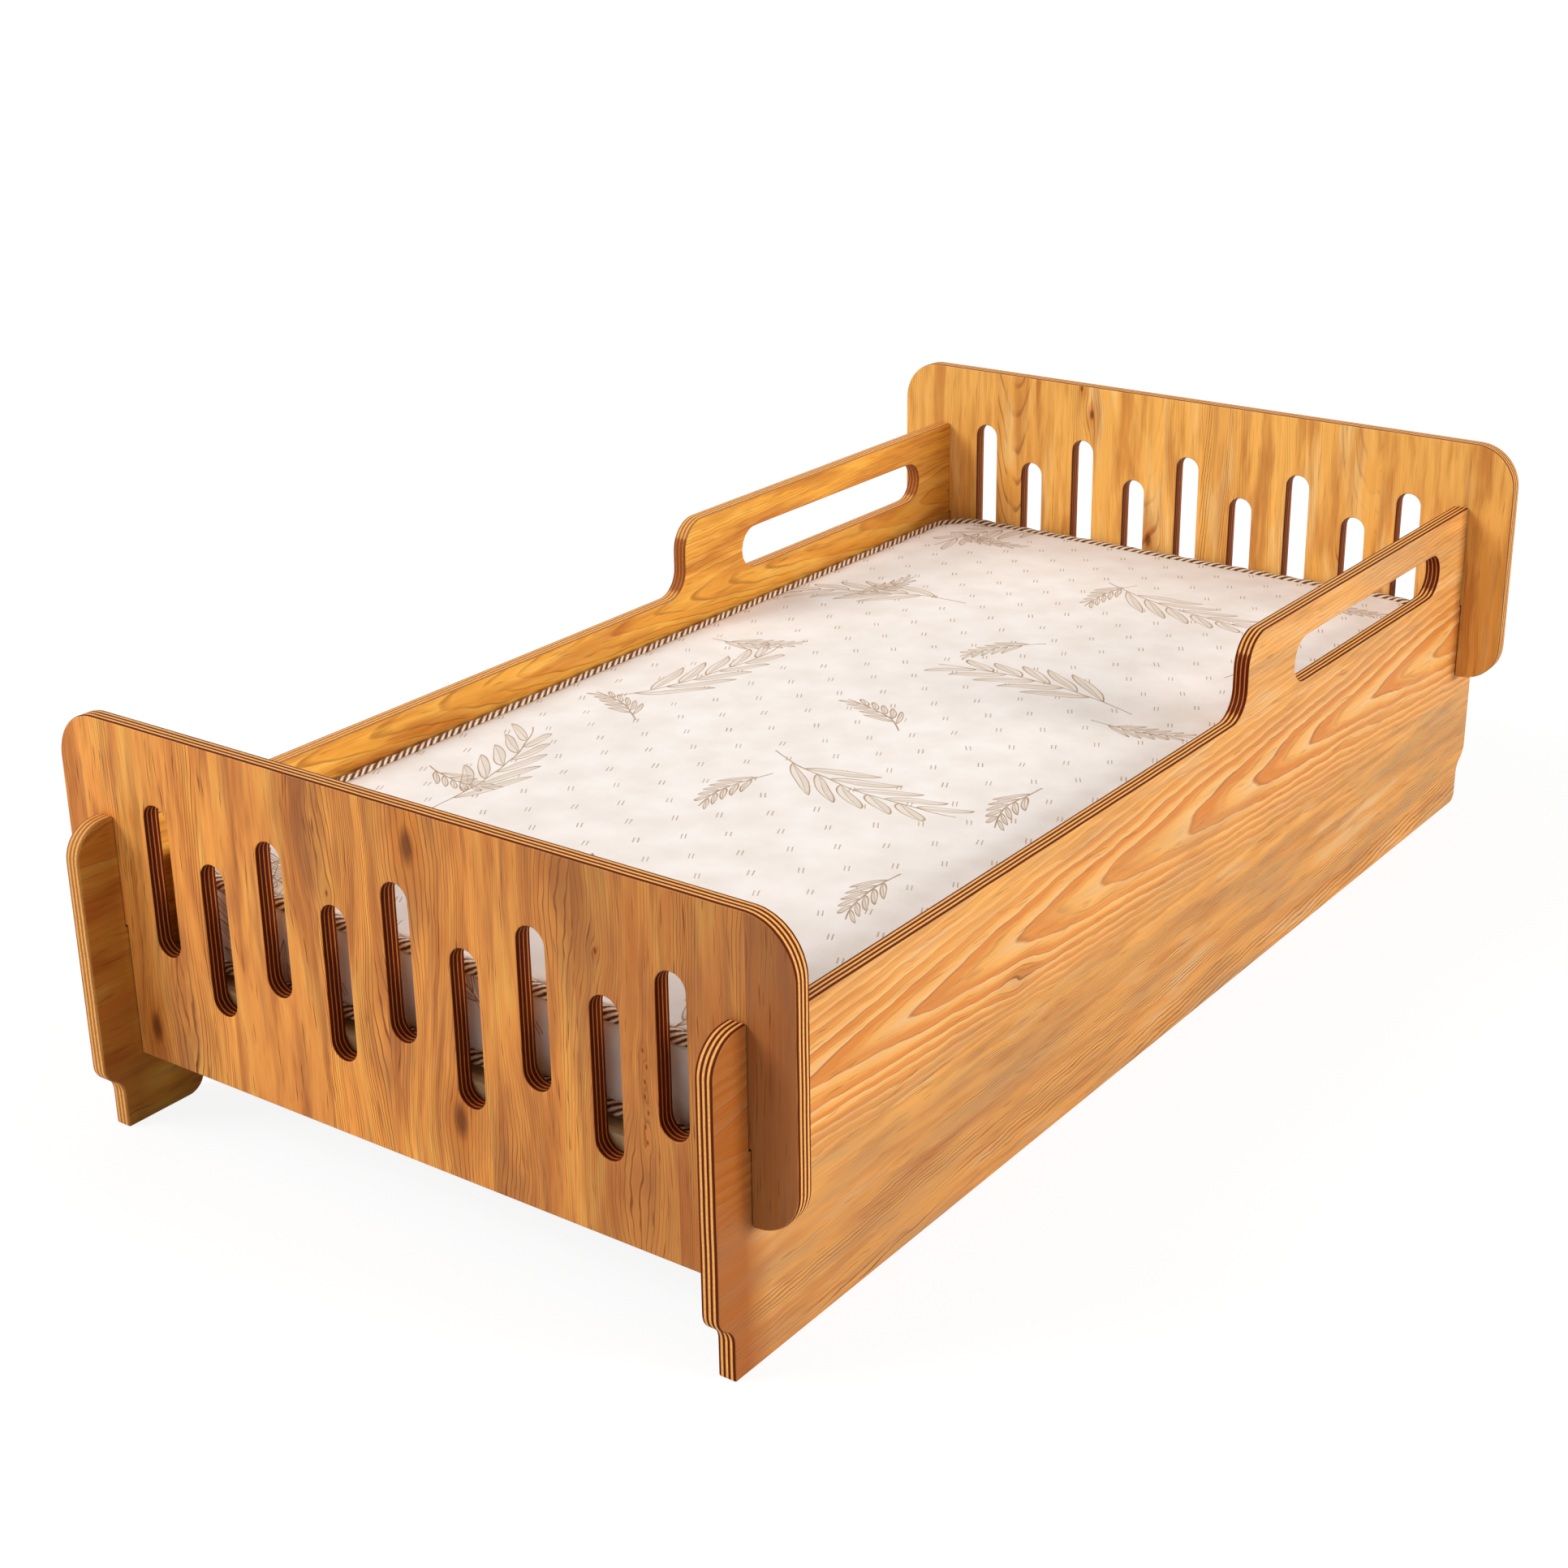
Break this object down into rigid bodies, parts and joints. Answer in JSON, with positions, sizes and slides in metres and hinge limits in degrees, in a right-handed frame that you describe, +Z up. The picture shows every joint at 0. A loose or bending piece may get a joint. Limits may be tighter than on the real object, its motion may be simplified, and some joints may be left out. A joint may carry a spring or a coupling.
{
  "type": "toddler floor bed",
  "caption": "Low plywood toddler bed with slotted end boards, stepped side panels with handholds, a slatted base and a bound mattress.",
  "frame": {"origin": "on the floor, under the middle of the side panels", "axes": "+Y runs from the foot of the bed to its head, +X to the right side panel as seen from the foot, +Z up"},
  "size_m": [0.85, 1.522, 0.463],
  "materials": {
    "panel_plywood": "satin",
    "board_plywood": "satin",
    "base_pine": "matte",
    "screw_zinc": "satin",
    "ticking": "matte",
    "binding_thread": "matte"
  },
  "bodies": {
    "frame": {"left_side_panel": "panel_plywood", "right_side_panel": "panel_plywood", "left_cleat": "base_pine", "right_cleat": "base_pine", "slat_01": "base_pine", "slat_02": "base_pine", "slat_03": "base_pine", "slat_04": "base_pine", "slat_05": "base_pine", "slat_06": "base_pine", "slat_07": "base_pine", "slat_08": "base_pine", "slat_09": "base_pine", "slat_10": "base_pine", "slat_11": "base_pine", "slat_12": "base_pine", "left_slat_screw_01": "screw_zinc", "left_slat_screw_02": "screw_zinc", "left_slat_screw_03": "screw_zinc", "left_slat_screw_04": "screw_zinc", "left_slat_screw_05": "screw_zinc", "left_slat_screw_06": "screw_zinc", "left_slat_screw_07": "screw_zinc", "left_slat_screw_08": "screw_zinc", "left_slat_screw_09": "screw_zinc", "left_slat_screw_10": "screw_zinc", "left_slat_screw_11": "screw_zinc", "left_slat_screw_12": "screw_zinc", "right_slat_screw_01": "screw_zinc", "right_slat_screw_02": "screw_zinc", "right_slat_screw_03": "screw_zinc", "right_slat_screw_04": "screw_zinc", "right_slat_screw_05": "screw_zinc", "right_slat_screw_06": "screw_zinc", "right_slat_screw_07": "screw_zinc", "right_slat_screw_08": "screw_zinc", "right_slat_screw_09": "screw_zinc", "right_slat_screw_10": "screw_zinc", "right_slat_screw_11": "screw_zinc", "right_slat_screw_12": "screw_zinc", "left_cleat_screw_1": "screw_zinc", "left_cleat_screw_2": "screw_zinc", "left_cleat_screw_3": "screw_zinc", "left_cleat_screw_4": "screw_zinc", "left_cleat_screw_5": "screw_zinc", "right_cleat_screw_1": "screw_zinc", "right_cleat_screw_2": "screw_zinc", "right_cleat_screw_3": "screw_zinc", "right_cleat_screw_4": "screw_zinc", "right_cleat_screw_5": "screw_zinc"},
    "foot_end": {"footboard": "board_plywood"},
    "head_end": {"headboard": "board_plywood"},
    "bedding": {"mattress": "ticking", "lower_binding": "binding_thread", "upper_binding": "binding_thread"}
  },
  "joints": [
    {"name": "footboard_lift", "type": "slide", "parent": "frame", "child": "foot_end", "axis": [0, 0, 1], "range_m": [0, 0.26]},
    {"name": "headboard_lift", "type": "slide", "parent": "frame", "child": "head_end", "axis": [0, 0, 1], "range_m": [0, 0.33]},
    {"name": "mattress_lift", "type": "slide", "parent": "frame", "child": "bedding", "axis": [0, 0, 1], "range_m": [0, 0.33]}
  ]
}
